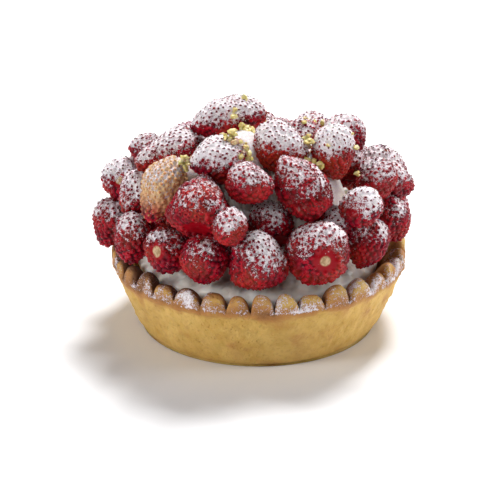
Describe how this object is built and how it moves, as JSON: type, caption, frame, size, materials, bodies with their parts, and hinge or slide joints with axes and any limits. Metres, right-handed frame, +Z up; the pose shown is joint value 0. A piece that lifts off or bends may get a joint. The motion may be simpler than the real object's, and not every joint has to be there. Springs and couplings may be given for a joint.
{
  "type": "strawberry tart",
  "caption": "Individual strawberry tart: a round shortcrust shell with a crimped rim, cream filling, and sugar-dusted wild strawberries heaped over it.",
  "frame": {"origin": "centre of the shell's flat underside, on the surface the tart stands on", "axes": "+Z up through the heap; -Y towards the front, where the largest berries are; +X to the right"},
  "size_m": [0.0849, 0.0817, 0.0623],
  "materials": {
    "crust": "matte baked shortcrust, golden with browner ridges",
    "cream": "satin whipped cream",
    "ripe_strawberry": "glossy fruit skin under powdered sugar",
    "unripe_strawberry": "glossy pale fruit skin under powdered sugar"
  },
  "bodies": {
    "root": {"crust_shell": "crust", "cream_filling": "cream", "berry_rim_01": "ripe_strawberry", "berry_rim_02": "ripe_strawberry", "berry_rim_03": "ripe_strawberry", "berry_rim_04": "ripe_strawberry", "berry_rim_05": "ripe_strawberry", "berry_rim_06": "ripe_strawberry", "berry_rim_07": "ripe_strawberry", "berry_rim_08": "ripe_strawberry", "berry_rim_09": "ripe_strawberry", "berry_rim_10": "ripe_strawberry", "berry_rim_11": "ripe_strawberry", "berry_rim_12": "ripe_strawberry", "berry_rim_13": "ripe_strawberry", "berry_rim_14": "ripe_strawberry", "berry_rim_15": "ripe_strawberry", "berry_rim_16": "ripe_strawberry", "berry_shoulder_01": "ripe_strawberry", "berry_shoulder_02": "ripe_strawberry", "berry_shoulder_03": "ripe_strawberry", "berry_shoulder_04": "unripe_strawberry", "berry_shoulder_05": "ripe_strawberry", "berry_shoulder_06": "ripe_strawberry", "berry_shoulder_07": "ripe_strawberry", "berry_shoulder_08": "ripe_strawberry", "berry_shoulder_09": "ripe_strawberry", "berry_shoulder_10": "ripe_strawberry", "berry_shoulder_11": "ripe_strawberry", "berry_shoulder_12": "ripe_strawberry", "berry_shoulder_13": "ripe_strawberry", "berry_shoulder_14": "ripe_strawberry", "berry_shoulder_15": "ripe_strawberry", "berry_shoulder_16": "ripe_strawberry", "berry_shoulder_17": "ripe_strawberry", "berry_shoulder_18": "ripe_strawberry", "berry_shoulder_19": "ripe_strawberry", "berry_upper_01": "ripe_strawberry", "berry_upper_02": "ripe_strawberry", "berry_upper_03": "ripe_strawberry", "berry_upper_04": "ripe_strawberry", "berry_upper_05": "ripe_strawberry", "berry_upper_06": "ripe_strawberry", "berry_upper_07": "ripe_strawberry", "berry_upper_08": "ripe_strawberry", "berry_upper_09": "ripe_strawberry", "berry_upper_10": "ripe_strawberry", "berry_upper_11": "ripe_strawberry", "berry_upper_12": "ripe_strawberry", "berry_crown_01": "ripe_strawberry", "berry_crown_02": "ripe_strawberry", "berry_crown_03": "ripe_strawberry", "berry_crown_04": "ripe_strawberry", "berry_crown_05": "ripe_strawberry"}
  },
  "joints": []
}
